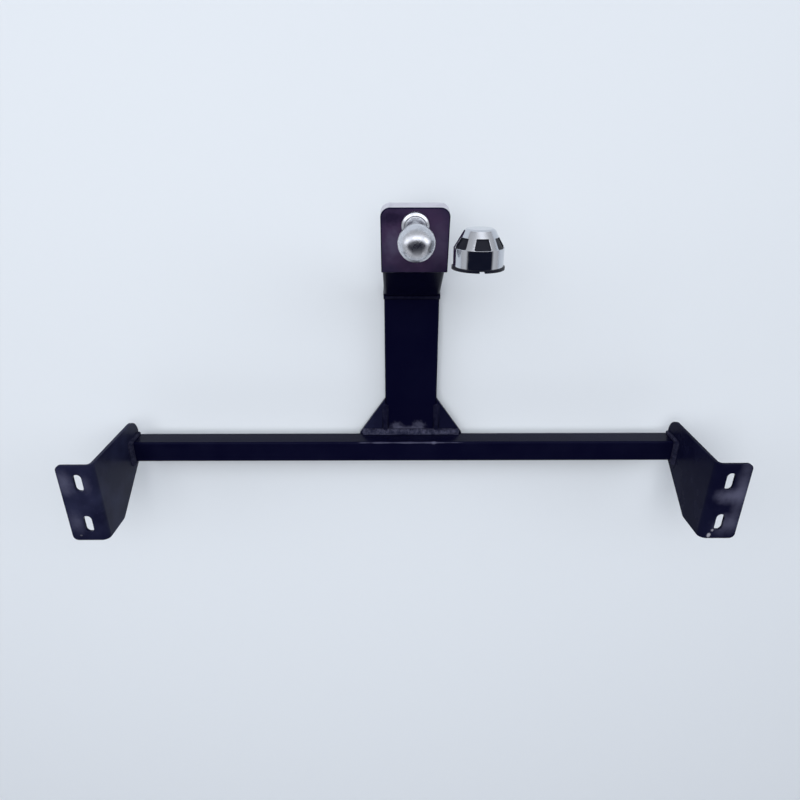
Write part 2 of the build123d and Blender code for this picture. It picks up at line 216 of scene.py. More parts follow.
def spots_near(corner, rows, side=1):
    """Spots for black_enamel, from rows of a place off the corner, three radii and what else a spot has.

    Places and radii are in millimetres. A place runs to the right, or to the left where side is -1, then to
    the rear and up.
    """
    return [(corner + Vector((side * x, y, z)) * MM, Vector(radii) * MM, *rest)
            for (x, y, z), radii, *rest in rows]


def black_enamel(settings, name, dust_and_painted_sheen=0.02, spots=(), rough=0.26, gloss=0.06):
    """Black enamel sprayed on bare steel: a hard gloss with orange peel, under a film of dust and a painted
    bluish sheen.

    dust_and_painted_sheen is how strongly that film covers. A spot is its centre, its three radii, its
    colour, how strongly it covers and how softly it ends.
    """
    made, tree = new_material(name)
    place = add_node(tree, "ShaderNodeTexCoord").outputs["Object"]
    # Clouds about 60 mm across and specks about 2.4 mm across, of dust and a painted bluish sheen
    cloud = add_node(tree, "ShaderNodeTexNoise", {"Vector": place, "Scale": 1 / (60 * MM), "Detail": 4.0})
    speck = add_node(tree, "ShaderNodeTexNoise", {"Vector": place, "Scale": 1 / (2.4 * MM), "Detail": 3.0})
    specks = add_node(tree, "ShaderNodeMapRange", {"Value": speck.outputs["Fac"], "From Min": 0.7,
                                                   "From Max": 0.76, "To Max": 2.5 * dust_and_painted_sheen})
    dusty = add_node(tree, "ShaderNodeMapRange", {"Value": cloud.outputs["Fac"], "From Min": 0.4,
                                                  "From Max": 0.7, "To Min": 0.3 * dust_and_painted_sheen, "To Max": dust_and_painted_sheen})
    mask = add_node(tree, "ShaderNodeMath", {0: specks.outputs["Result"], 1: dusty.outputs["Result"]},
                    operation="MAXIMUM").outputs["Value"]
    # Painted sheen as well as dust: the film's colour stands in for the floor mirrored in the enamel
    shade = add_node(tree, "ShaderNodeMix", {"Factor": mask, MIX_A: settings.colour, MIX_B: settings.dust_and_painted_sheen},
                     data_type="RGBA").outputs[MIX_RESULT]
    for centre, radii, colour, strength, soft in spots:
        part = add_node(tree, "ShaderNodeMath", {0: spot(tree, place, centre, radii, soft), 1: strength},
                        operation="MULTIPLY").outputs["Value"]
        shade = add_node(tree, "ShaderNodeMix", {"Factor": part, MIX_A: shade, MIX_B: colour},
                         data_type="RGBA").outputs[MIX_RESULT]
        mask = add_node(tree, "ShaderNodeMath", {0: mask, 1: part}, operation="MAXIMUM").outputs["Value"]
    haze = add_node(tree, "ShaderNodeMapRange", {"Value": mask, "To Min": rough, "To Max": 0.7})
    # Orange peel, about 2.5 mm from one dimple to the next
    peel = add_node(tree, "ShaderNodeTexNoise", {"Vector": place, "Scale": 1 / (2.5 * MM), "Detail": 1.0})
    bump = add_node(tree, "ShaderNodeBump", {"Height": peel.outputs["Fac"], "Strength": 0.25,
                                             "Distance": 0.1 * MM})
    shader = add_node(tree, "ShaderNodeBsdfPrincipled", {
        "Base Color": shade, "Roughness": haze.outputs["Result"], "IOR": 1.48, "Specular IOR Level": gloss,
        "Specular Tint": settings.sheen, "Normal": bump.outputs["Normal"]})
    add_node(tree, "ShaderNodeOutputMaterial", {"Surface": shader.outputs["BSDF"]})
    return made


def painted_weld(settings, name, crusted, gloss=0.3):
    """Enamel over an arc-welded bead: the paint is thin on the crests, so slag and dust show there."""
    made, tree = new_material(name)
    place = add_node(tree, "ShaderNodeTexCoord").outputs["Object"]
    # Crusts about 7 mm across
    crust = add_node(tree, "ShaderNodeTexNoise", {"Vector": place, "Scale": 1 / (7 * MM), "Detail": 6.0,
                                                  "Roughness": 0.65})
    mask = add_node(tree, "ShaderNodeMapRange", {"Value": crust.outputs["Fac"], "From Min": 0.4,
                                                 "From Max": 0.68, "To Min": 0.1 * crusted,
                                                 "To Max": crusted})
    shade = add_node(tree, "ShaderNodeMix", {"Factor": mask.outputs["Result"], MIX_A: settings.colour,
                                             MIX_B: settings.dust}, data_type="RGBA")
    rough = add_node(tree, "ShaderNodeMapRange", {"Value": crust.outputs["Fac"], "To Min": 0.35,
                                                  "To Max": 0.75})
    bump = add_node(tree, "ShaderNodeBump", {"Height": crust.outputs["Fac"], "Strength": 0.6,
                                             "Distance": 0.6 * MM})
    shader = add_node(tree, "ShaderNodeBsdfPrincipled", {
        "Base Color": shade.outputs[MIX_RESULT], "Roughness": rough.outputs["Result"], "IOR": 1.48,
        "Specular IOR Level": gloss, "Specular Tint": settings.sheen, "Normal": bump.outputs["Normal"]})
    add_node(tree, "ShaderNodeOutputMaterial", {"Surface": shader.outputs["BSDF"]})
    return made


def cut_steel(settings):
    """Flame-cut steel, ground and left bare: bright, with fine lines through the plate's thickness."""
    made, tree = new_material("ground_steel_edge")
    place = add_node(tree, "ShaderNodeTexCoord").outputs["Object"]
    # Cutting lines 1.5 mm apart along the edge, which hardly change through the plate's thickness
    lines = add_node(tree, "ShaderNodeMapping", {
        "Vector": place, "Scale": (1 / (1.5 * MM), 1 / (25 * MM), 1 / (83 * MM))})
    grind = add_node(tree, "ShaderNodeTexNoise", {"Vector": lines.outputs["Vector"], "Scale": 1.0,
                                                  "Detail": 3.0})
    stain = add_node(tree, "ShaderNodeTexNoise", {"Vector": place, "Scale": 1 / (18 * MM), "Detail": 4.0})
    tint = add_node(tree, "ShaderNodeMapRange", {"Value": stain.outputs["Fac"], "From Min": 0.5,
                                                 "From Max": 0.8, "To Max": 0.3})
    shade = add_node(tree, "ShaderNodeMix", {"Factor": tint.outputs["Result"], MIX_A: settings.bare,
                                             MIX_B: settings.dust}, data_type="RGBA")
    rough = add_node(tree, "ShaderNodeMapRange", {"Value": grind.outputs["Fac"], "To Min": 0.3,
                                                  "To Max": 0.55})
    bump = add_node(tree, "ShaderNodeBump", {"Height": grind.outputs["Fac"], "Strength": 0.3,
                                             "Distance": 0.1 * MM})
    shader = add_node(tree, "ShaderNodeBsdfPrincipled", {
        "Base Color": shade.outputs[MIX_RESULT], "Metallic": 0.1, "Roughness": rough.outputs["Result"],
        "Normal": bump.outputs["Normal"]})
    add_node(tree, "ShaderNodeOutputMaterial", {"Surface": shader.outputs["BSDF"]})
    return made


def turned_steel(settings):
    """Turned steel under bright zinc: silvery and satin, stained where couplings have rubbed it."""
    made, tree = new_material("turned_zinc_steel")
    place = add_node(tree, "ShaderNodeTexCoord").outputs["Object"]
    # Smears of old grease about 12 mm across
    smear = add_node(tree, "ShaderNodeTexNoise", {"Vector": place, "Scale": 1 / (12 * MM), "Detail": 5.0,
                                                  "Roughness": 0.6, "Distortion": 0.6})
    tint = add_node(tree, "ShaderNodeMapRange", {"Value": smear.outputs["Fac"], "From Min": 0.45,
                                                 "From Max": 0.75, "To Max": 0.45})
    shade = add_node(tree, "ShaderNodeMix", {"Factor": tint.outputs["Result"], MIX_A: settings.steel,
                                             MIX_B: settings.smear}, data_type="RGBA")
    rough = add_node(tree, "ShaderNodeMapRange", {"Value": smear.outputs["Fac"], "From Min": 0.3,
                                                  "From Max": 0.7, "To Min": 0.2, "To Max": 0.38})
    # Tool marks round the ball's axis, drawn 0.6 mm apart, three times as coarse as real ones, to show
    axis = add_node(tree, "ShaderNodeVectorMath", {0: place, 1: SHANK_UP}, operation="DOT_PRODUCT")
    marks = add_node(tree, "ShaderNodeMath", {0: axis.outputs["Value"], 1: 2 * pi / (0.6 * MM)},
                     operation="MULTIPLY")
    wave = add_node(tree, "ShaderNodeMath", {0: marks.outputs["Value"]}, operation="SINE")
    bump = add_node(tree, "ShaderNodeBump", {"Height": wave.outputs["Value"], "Strength": 0.05,
                                             "Distance": 0.02 * MM})
    shader = add_node(tree, "ShaderNodeBsdfPrincipled", {
        "Base Color": shade.outputs[MIX_RESULT], "Metallic": 1.0, "Roughness": rough.outputs["Result"],
        "Normal": bump.outputs["Normal"]})
    add_node(tree, "ShaderNodeOutputMaterial", {"Surface": shader.outputs["BSDF"]})
    return made


def bright_chrome(settings):
    """Chromium plate on pressed steel: a mirror with a little haze and finger marks."""
    made, tree = new_material("chromium_plate")
    place = add_node(tree, "ShaderNodeTexCoord").outputs["Object"]
    # Finger marks about 10 mm across
    haze = add_node(tree, "ShaderNodeTexNoise", {"Vector": place, "Scale": 1 / (10 * MM), "Detail": 4.0})
    rough = add_node(tree, "ShaderNodeMapRange", {"Value": haze.outputs["Fac"], "From Min": 0.35,
                                                  "From Max": 0.75, "To Min": 0.05, "To Max": 0.16})
    # The pressed sheet is a little wavy, 20 mm from one wave to the next
    wave = add_node(tree, "ShaderNodeTexNoise", {"Vector": place, "Scale": 1 / (20 * MM), "Detail": 1.0})
    bump = add_node(tree, "ShaderNodeBump", {"Height": wave.outputs["Fac"], "Strength": 0.5,
                                             "Distance": 0.4 * MM})
    shader = add_node(tree, "ShaderNodeBsdfPrincipled", {
        "Base Color": settings.chrome, "Metallic": 1.0, "Roughness": rough.outputs["Result"],
        "Normal": bump.outputs["Normal"]})
    add_node(tree, "ShaderNodeOutputMaterial", {"Surface": shader.outputs["BSDF"]})
    return made


def moulded_liner(settings):
    """Black moulded polyethylene: soft sheen with a fine sparked grain."""
    made, tree = new_material("moulded_black_polyethylene")
    place = add_node(tree, "ShaderNodeTexCoord").outputs["Object"]
    # Sparked grain, drawn 1 mm coarse so that it shows
    grain = add_node(tree, "ShaderNodeTexNoise", {"Vector": place, "Scale": 1 / (1 * MM), "Detail": 2.0})
    bump = add_node(tree, "ShaderNodeBump", {"Height": grain.outputs["Fac"], "Strength": 0.3,
                                             "Distance": 0.1 * MM})
    shader = add_node(tree, "ShaderNodeBsdfPrincipled", {
        "Base Color": settings.liner, "Roughness": 0.45, "IOR": 1.51, "Specular IOR Level": 0.2,
        "Normal": bump.outputs["Normal"]})
    add_node(tree, "ShaderNodeOutputMaterial", {"Surface": shader.outputs["BSDF"]})
    return made


def wear(piece, *materials):
    """Gives a piece its materials."""
    piece.data.materials.clear()
    for material in materials:
        piece.data.materials.append(material)


def new_piece(name, mesh):
    """An object for a mesh, at the origin."""
    piece = bpy.data.objects.new(name, mesh)
    bpy.context.scene.collection.objects.link(piece)
    return piece


def merged_copy(name, node, joined=0.002 * MM, flat=radians(0.4)):
    """A copy of a CAD node with its corners within joined made one, and its faces within flat made whole."""
    source = frame["nodes"][node].data
    form = bmesh.new()
    for vertex in source.vertices:
        form.verts.new(vertex.co)
    form.verts.ensure_lookup_table()
    for face in source.polygons:
        form.faces.new([form.verts[at] for at in face.vertices])
    bmesh.ops.remove_doubles(form, verts=form.verts, dist=joined)
    bmesh.ops.dissolve_limit(form, angle_limit=flat, verts=form.verts, edges=form.edges)
    mesh = bpy.data.meshes.new(name)
    form.to_mesh(mesh)
    form.free()
    return new_piece(name, mesh)


def settle(piece):
    """Makes what a piece's modifiers give its plain mesh."""
    made = bpy.data.meshes.new_from_object(piece.evaluated_get(bpy.context.evaluated_depsgraph_get()))
    piece.modifiers.clear()
    piece.data = made


def soften(piece, radius, limit=30):
    """Rounds a piece's sharp edges, and shades its curved faces smooth and its flat ones flat."""
    bevel = piece.modifiers.new("edges", "BEVEL")
    bevel.width = radius
    bevel.segments = 2
    bevel.angle_limit = radians(limit)
    bevel.use_clamp_overlap = False
    # Large faces keep their own direction, and the small ones beside them turn towards it
    shading = piece.modifiers.new("shading", "WEIGHTED_NORMAL")
    shading.weight = 100
    piece.data.shade_smooth()
    settle(piece)


def true_round(piece, centre, axis):
    """Shades the facets of a piece's walls as what they stand for: round forms about an axis."""
    mesh = piece.data
    normals = [corner.vector.copy() for corner in mesh.corner_normals]

    def outward(place):
        """The direction away from the axis."""
        offset = place - centre
        return (offset - axis * offset.dot(axis)).normalized()

    for face in mesh.polygons:
        across, along = face.normal.dot(outward(face.center)), face.normal.dot(axis)
        # A facet of a round wall faces outwards or inwards, and not round the axis as a window's side does
        if abs(across) > 0.3 and across ** 2 + along ** 2 > 0.985:
            for corner in face.loop_indices:
                place = mesh.vertices[mesh.loops[corner].vertex_index].co
                normals[corner] = (outward(place) * across + axis * along).normalized()
    mesh.normals_split_custom_set(normals)


def stand_for(piece, node, *materials):
    """The piece takes a CAD node's place and moves with its body, and wears the materials it is given."""
    if materials:
        wear(piece, *materials)
    body = next(body for body, members in frame["record"]["behaviour"]["bodies"].items() if node in members)
    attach(piece, body)
    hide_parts(node)


class TOWBAR_OT_steelwork(Operator):
    """Paint the crossbar, brackets, tubes, gussets and ball plate, and round the plates' cut edges"""
    bl_idname = "towbar.steelwork"
    bl_label = "Steelwork"

    def execute(self, context):
        settings = context.scene.towbar_paint
        dust, bare = settings.dust, settings.bare
        # A painted highlight runs along the bar's upper rear edge between the gussets, in the dust colour,
        # and the edge is knocked once
        bar_highlight_and_knock = spots_near(Vector((0, BAR_HIGH.y, BAR_HIGH.z)), (
            ((8, -1, -1), (100, 1.8, 1.8), dust, 0.32, 0.4),
            ((55, -1, -1), (6, 5, 5), dust, 0.4, 0.8)))
        bar_paint = black_enamel(settings, "sprayed_black_enamel", spots=bar_highlight_and_knock)
        # Crusts of slag beside the bead at the tube's root
        tube_spots = spots_near(Vector((0, BAR_HIGH.y, TUBE_HIGH.z)), (
            ((-14, 15, 0), (15, 11, 5), dust, 0.3, 0.8),
            ((28, 16, 0), (16, 13, 5), dust, 0.3, 0.8),
            ((6, 9, 0), (44, 7, 5), dust, 0.3, 0.8)))
        tube_paint = black_enamel(settings, "sprayed_tube_enamel", dust_and_painted_sheen=0.01, spots=tube_spots, gloss=0.03)
        for name, paint in (("crossbar", bar_paint), ("draw_tube", tube_paint), ("neck_tube", tube_paint),
                            ("tube_end_plate", tube_paint)):
            wear(frame["nodes"][name], paint)
        # The flanges are rubbed where they lay against the vehicle and chipped at their front corners
        low, high = BOX["left_bracket"]
        left_spots = spots_near(Vector((low.x, low.y, high.z)), (
            ((9, 113, 0), (24, 34, 5), dust, 0.35, 1.0),
            ((13, 37, 0), (20, 32, 5), dust, 0.25, 1.0),
            ((43, 111, 0), (14, 26, 5), dust, 0.15, 1.0),
            ((15, 10, 0), (2.6, 2.0, 2.6), bare, 0.14, 0.6)))
        low, high = BOX["right_bracket"]
        right_spots = spots_near(Vector((high.x, low.y, high.z)), (
            ((26, 86, 0), (36, 22, 5), dust, 0.45, 1.0),
            ((8, 95, 0), (18, 80, 5), dust, 0.35, 1.0),
            ((18, 29, 0), (34, 30, 5), dust, 0.35, 1.0),
            ((45, 7, 0), (3.8, 4.8, 3.8), bare, 0.65, 0.4),
            ((41, 17, 0), (2.6, 3.0, 2.6), bare, 0.45, 0.4)), side=-1)
        # The film is stronger on the left bracket and gusset than on the right ones: it is dust, and a
        # painted sheen that is lighter on the left
        for node, paint in (
                ("left_bracket", black_enamel(settings, "left_dust_and_sheen_enamel", dust_and_painted_sheen=0.16, spots=left_spots)),
                ("right_bracket", black_enamel(settings, "right_dust_and_sheen_enamel", dust_and_painted_sheen=0.06, spots=right_spots,
                                               gloss=0.02)),
                ("left_gusset", black_enamel(settings, "left_gusset_dust_and_sheen_enamel", dust_and_painted_sheen=0.18)),
                ("right_gusset", black_enamel(settings, "right_gusset_thin_dust_and_sheen_enamel", dust_and_painted_sheen=0.05))):
            piece = merged_copy(f"{node}_plate", node)
            soften(piece, settings.edge_radius)
            stand_for(piece, node, paint)
        # Couplings have rubbed most of the ball plate's face, and its left rear corner kept more paint
        low, high = BOX["ball_plate"]
        half_plate = 10 * MM
        plate_spots = spots_near((low + high) / 2 + SHANK_UP * half_plate, (
            ((0, 6, 2), (105, 95, 95), settings.rubbed, 0.92, 0.9),
            ((-30, -4, 0), (22, 34, 34), dust, 0.25, 0.9),
            ((34, -4, 0), (22, 40, 40), dust, 0.14, 0.9),
            ((-34, 34, 8), (26, 16, 16), settings.colour, 0.6, 0.8)))
        face_paint = black_enamel(settings, "rubbed_black_enamel", dust_and_painted_sheen=0.1, spots=plate_spots, rough=0.42)
        plate = merged_copy("drilled_ball_plate", "ball_plate")
        soften(plate, settings.edge_radius)
        sides = [face.index for face in plate.data.polygons if abs(face.normal.dot(SHANK_UP)) < 0.95]
        stand_for(plate, "ball_plate", face_paint, cut_steel(settings), bar_paint)
        # Its rear edge and round corners are left as they were cut, up to the broken edge of its face
        for face in (plate.data.polygons[index] for index in sides):
            cut = face.normal.dot(PLATE_ALONG) > 0.12 and face.normal.dot(SHANK_UP) < 0.45
            face.material_index = 1 if cut else 2
        return {"FINISHED"}


def ripple_tree():
    """Ripples along a straight run: flat drops of weld metal that lie back over one another."""
    tree = bpy.data.node_groups.new("weld_ripples", "GeometryNodeTree")
    kinds = {"Geometry": "NodeSocketGeometry", "Start": "NodeSocketVector", "End": "NodeSocketVector",
             "Out": "NodeSocketVector", "Pitch": "NodeSocketFloat", "Width": "NodeSocketFloat",
             "Height": "NodeSocketFloat", "Lean": "NodeSocketFloat", "Seed": "NodeSocketInt",
             "Material": "NodeSocketMaterial"}
    for name, kind in kinds.items():
        tree.interface.new_socket(name, in_out="INPUT", socket_type=kind)
    tree.interface.new_socket("Geometry", in_out="OUTPUT", socket_type="NodeSocketGeometry")
    given = add_node(tree, "NodeGroupInput").outputs
    run = add_node(tree, "GeometryNodeCurvePrimitiveLine", {"Start": given["Start"], "End": given["End"]})
    points = add_node(tree, "GeometryNodeResampleCurve", {"Curve": run.outputs["Curve"],
                                                          "Length": given["Pitch"]}, mode="LENGTH")
    travel = add_node(tree, "ShaderNodeVectorMath", {0: given["End"], 1: given["Start"]},
                      operation="SUBTRACT")
    ahead = add_node(tree, "FunctionNodeAlignRotationToVector", {"Vector": travel.outputs["Vector"]},
                     axis="X")
    facing = add_node(tree, "FunctionNodeAlignRotationToVector", {
        "Rotation": ahead.outputs["Rotation"], "Vector": given["Out"]}, axis="Z", pivot_axis="X")
    back = add_node(tree, "ShaderNodeCombineXYZ", {"Y": given["Lean"]})
    leaning = add_node(tree, "FunctionNodeRotateRotation", {
        "Rotation": facing.outputs["Rotation"], "Rotate By": back.outputs["Vector"]}, rotation_space="LOCAL")
    half = add_node(tree, "ShaderNodeMath", {0: given["Width"], 1: 0.5}, operation="MULTIPLY")
    # A drop reaches almost to the middle of the next one
    reach = add_node(tree, "ShaderNodeMath", {0: given["Pitch"], 1: 0.95}, operation="MULTIPLY")
    size = add_node(tree, "ShaderNodeCombineXYZ", {"X": reach.outputs["Value"], "Y": half.outputs["Value"],
                                                   "Z": given["Height"]})
    # The welder's hand: the least and greatest shares of a drop's length, width and height
    uneven = add_node(tree, "FunctionNodeRandomValue", {0: (0.8, 0.78, 0.6), 1: (1.25, 1.06, 1.4),
                                                        "Seed": given["Seed"]}, data_type="FLOAT_VECTOR")
    scale = add_node(tree, "ShaderNodeVectorMath", {0: size.outputs["Vector"], 1: uneven.outputs[0]},
                     operation="MULTIPLY")
    drop = add_node(tree, "GeometryNodeMeshIcoSphere", {"Radius": 1.0, "Subdivisions": 3})
    smooth = add_node(tree, "GeometryNodeSetShadeSmooth", {"Geometry": drop.outputs["Mesh"]})
    placed = add_node(tree, "GeometryNodeInstanceOnPoints", {
        "Points": points.outputs["Curve"], "Instance": smooth.outputs["Geometry"],
        "Rotation": leaning.outputs["Rotation"], "Scale": scale.outputs["Vector"]})
    joined = add_node(tree, "GeometryNodeJoinGeometry", {"Geometry": placed.outputs["Instances"]})
    tree.links.new(given["Geometry"], joined.inputs["Geometry"])
    real = add_node(tree, "GeometryNodeRealizeInstances", {"Geometry": joined.outputs["Geometry"]})
    coloured = add_node(tree, "GeometryNodeSetMaterial", {"Geometry": real.outputs["Geometry"],
                                                          "Material": given["Material"]})
    add_node(tree, "NodeGroupOutput", {"Geometry": coloured.outputs["Geometry"]})
    return tree


def fillet_run(node, facing):
    """The run along the middle of a fillet bead's face, which faces up and to the rear (1) or front (-1)."""
    low, high = BOX[node]
    inset = 1.5 * MM
    y, z = (low.y + high.y) / 2, (low.z + high.z) / 2
    return (Vector((low.x + inset, y, z)), Vector((high.x - inset, y, z)),
            Vector((0, facing * (high.z - low.z), high.y - low.y)),
            sqrt((high.y - low.y) ** 2 + (high.z - low.z) ** 2))


def plate_runs():
    """The runs of the beads that hold the ball plate on the neck."""
    low, high = BOX["plate_rear_weld"]
    y, z = (low.y + high.y) / 2, (low.z + high.z) / 2 - 1 * MM
    # The rear bead faces to the rear and down
    rear_out, rear_width = Vector((0, 0.55, -0.83)), 10 * MM
    rear = [(Vector((low.x, y, z)), Vector((high.x, y, z)), rear_out, rear_width)]
    # The heavy bead in front of the plate is laid in two passes, which stand proud of its face
    low, high = BOX["plate_front_weld"]
    front_out = Vector((0, low.z - high.z, high.y - low.y - 3 * MM)).normalized()
    front_width, proud = 13.5 * MM, 1.2 * MM
    near_y, far_y = low.y + 0.6 * MM, high.y - 2.8 * MM
    front = []
    for share in (0.27, 0.72):
        place = Vector((0, near_y + share * (far_y - near_y), low.z + share * (high.z - low.z)))
        place += front_out * proud
        front.append((place + Vector((low.x, 0, 0)), place + Vector((high.x, 0, 0)), front_out, front_width))
    return {"plate_rear_weld": rear, "plate_front_weld": front}


def gusset_run(node):
    """The run of a flat bead along the draw tube's side, just under the bead's crown."""
    low, high = BOX[node]
    x, z = (low.x + high.x) / 2, high.z - 0.9 * MM
    return (Vector((x, low.y, z)), Vector((x, high.y, z)), Vector((0, 0, 1)), 0.75 * (high.x - low.x))


def end_runs(node, inward):
    """The runs round three sides of the crossbar's end: over its top, then up its front and rear."""
    low, high = BOX[node]
    x, reach = (low.x + high.x) / 2, high.x - low.x
    above, beside = high.z - BAR_HIGH.z, high.y - BAR_HIGH.y
    z, overhang = BAR_HIGH.z + above / 2, 2 * MM
    runs = [(Vector((x, BAR_LOW.y - overhang, z)), Vector((x, BAR_HIGH.y + overhang, z)),
             Vector((inward * above, 0, reach)), sqrt(above ** 2 + reach ** 2))]
    for y, side in ((BAR_LOW.y - beside / 2, -1), (BAR_HIGH.y + beside / 2, 1)):
        runs.append((Vector((x, y, low.z + 1 * MM)), Vector((x, y, BAR_HIGH.z - 2 * MM)),
                     Vector((inward * beside, side * reach, 0)), sqrt(beside ** 2 + reach ** 2)))
    return runs


def seam_runs():
    """The runs over the mitre: across the tube's upper face, then down both sides."""
    lean = NECK_ANGLE / 2
    down = Vector((0, sin(lean), -cos(lean)))
    left, right = Vector((TUBE_LOW.x, 0, 0)), Vector((TUBE_HIGH.x, 0, 0))
    inset = Vector((4 * MM, 0, 0))
    runs = [(left + SEAM + inset, right + SEAM - inset, -down, 6 * MM)]
    for side, out in ((left, -1), (right, 1)):
        runs.append((side + SEAM + down * 5 * MM, side + SEAM + down * 27 * MM, Vector((out, 0, 0)),
                     5.5 * MM))
    return runs


def bead_runs():
    """For each bead's node, the straight runs of its ripples: start, end, outward direction and width."""
    return {"base_weld": [fillet_run("base_weld", 1)], "lap_weld": [fillet_run("lap_weld", -1)],
            **plate_runs(),
            **{node: [gusset_run(node)] for node in ("left_gusset_weld", "right_gusset_weld")},
            "left_end_weld": end_runs("left_end_weld", 1), "right_end_weld": end_runs("right_end_weld", -1),
            "seam_weld": seam_runs()}


class TOWBAR_OT_welds(Operator):
    """Lay ripples along every weld bead"""
    bl_idname = "towbar.welds"
    bl_label = "Weld beads"

    def execute(self, context):
        settings = context.scene.towbar_weld
        colours = context.scene.towbar_paint
        thin = painted_weld(colours, "enamelled_weld_bead", 0.06, gloss=0.1)
        dusty = painted_weld(colours, "dusty_weld_bead", 0.18, gloss=0.15)
        paints = {"base_weld": painted_weld(colours, "crusted_weld_bead", 0.42), "plate_front_weld": dusty,
                  "left_end_weld": dusty, "right_end_weld": dusty}
        tree = ripple_tree()
        sockets = {item.name: item.identifier for item in tree.interface.items_tree if item.in_out == "INPUT"}
        for node, runs in bead_runs().items():
            piece = merged_copy(f"rippled_{node}", node)
            piece.data.shade_smooth()
            # The bead over the mitre was ground down, so that its ripples are low
            height = settings.height * (0.4 if node == "seam_weld" else 1.0)
            for count, (start, end, out, width) in enumerate(runs):
                layer = piece.modifiers.new(f"run_{count}", "NODES")
                layer.node_group = tree
                for name, value in (("Start", start), ("End", end), ("Out", out), ("Pitch", settings.pitch),
                                    ("Width", width), ("Height", height), ("Lean", settings.lean),
                                    ("Seed", settings.seed + count), ("Material", paints.get(node, thin))):
                    layer[sockets[name]] = value
            settle(piece)
            stand_for(piece, node, paints.get(node, thin))
        return {"FINISHED"}


def bend(centre, radius, start, end, steps):
    """Points of an arc in a turned outline, as (radius, height), from one angle to another in degrees."""
    angles = [radians(start + (end - start) * count / steps) for count in range(steps + 1)]
    return [(centre[0] + radius * cos(angle), centre[1] + radius * sin(angle)) for angle in angles]


def turned(name, outline, steps, groove=None, sharp=radians(24)):
    """A closed form turned about the shank's axis, in this many steps.

    The outline runs up from pole to pole, as radii and heights from the ball's centre. Where it is given,
    groove says how deep under the outline a height and an angle lie. Edges that bend more than sharp show.
    """
    across, ahead = Vector((1, 0, 0)), SHANK_UP.cross(Vector((1, 0, 0)))
    form = bmesh.new()
    rings = []
    for radius, height in outline:
        middle = BALL_CENTRE + SHANK_UP * height
        if radius == 0:
            rings.append([form.verts.new(middle)])
            continue
        ring = []
        for count in range(steps):
            angle = 2 * pi * count / steps
            reach = radius - (groove(height, angle) if groove else 0)
            ring.append(form.verts.new(middle + (across * cos(angle) + ahead * sin(angle)) * reach))
        rings.append(ring)
    for lower, upper in zip(rings, rings[1:]):
        for count in range(steps):
            after = (count + 1) % steps
            corners = [lower[count % len(lower)], lower[after % len(lower)],
                       upper[after % len(upper)], upper[count % len(upper)]]
            form.faces.new(list(dict.fromkeys(corners)))
    bmesh.ops.recalc_face_normals(form, faces=form.faces)
    mesh = bpy.data.meshes.new(name)
    form.to_mesh(mesh)
    form.free()
    mesh.shade_smooth()
    mesh.set_sharp_from_angle(angle=sharp)
    return new_piece(name, mesh)


class TOWBAR_OT_ball(Operator):
    """Turn the tow ball with its threaded shank, and finish its washer and nut"""
    bl_idname = "towbar.ball"
    bl_label = "Tow ball"

    def execute(self, context):
        settings = context.scene.towbar_ball
        ball, neck, collar = settings.diameter / 2, settings.neck / 2, settings.collar / 2
        shank, flat, pitch = settings.shank / 2, settings.flat / 2, settings.thread_pitch
        foot = -settings.height
        end = foot - settings.shank_length
        thread_top = end + settings.thread_length
        # The shank's end is chamfered, and its thread has eight rows of corners to a turn
        chamfer, first, row = 1.8 * MM, 0.6 * MM, pitch / 8
        rows = int((settings.thread_length - 1 * MM) / row)
        outline = [(0, end), (shank - chamfer, end)]
        for height in (first + count * row for count in range(rows)):
            outline.append((shank - max(0, chamfer - height), end + height))
        outline += [(shank, thread_top + 1 * MM), (shank, foot)]
        # The collar's lower edge is broken, and its upper edge is turned off at 40 degrees
        broken, rounding, turned_off, slope = 0.4 * MM, 0.8 * MM, 3.2 * MM, radians(40)
        collar_top = foot + settings.collar_height
        shoulder = collar_top - turned_off * tan(slope)
        middle = (collar - rounding, shoulder - rounding * tan((pi / 2 - slope) / 2))
        outline += [(collar - broken, foot), (collar, foot + broken)]
        outline += bend(middle, rounding, 0, 90 - degrees(slope), 4) + [(collar - turned_off, collar_top)]
        # The neck rises from the collar and runs into the ball over small fillets
        fillet, joint = 2.7 * MM, 2.5 * MM
        outline += bend((neck + fillet, collar_top + fillet), fillet, 270, 180, 8)
        rise = -sqrt((ball + joint) ** 2 - (neck + joint) ** 2)
        ball_low = degrees(asin(rise / (ball + joint)))
        outline += [(neck, rise)] + bend((neck + joint, rise), joint, 180, 180 + ball_low, 5)[1:]
        ball_high = degrees(acos((flat + broken) / ball))
        outline += bend((0, 0), ball, ball_low, ball_high, 44)[1:]
        top = sqrt(ball ** 2 - flat ** 2)
        outline += [(flat, top), (0, top)]

        def groove(height, angle):
            """Depth of the M20 thread's groove, which fades out where the thread ends."""
            if height > thread_top or height < end + first / 2:
                return 0
            share = ((height - end) / pitch - angle / (2 * pi)) % 1
            fade = min(1, (thread_top - height) / pitch)
            # A metric thread is 0.61 of its pitch deep, and its crests are flat
            return 0.61 * pitch * fade * max(0, 1 - abs(2 * share - 1) * 1.15)

        piece = turned("turned_tow_ball", outline, 96, groove)
        steel = turned_steel(settings)
        stand_for(piece, "tow_ball", steel)
        for node in ("spring_washer", "ball_nut"):
            piece = merged_copy(f"plated_{node}", node)
            soften(piece, settings.edge_radius, limit=40)
            stand_for(piece, node, steel)
        return {"FINISHED"}


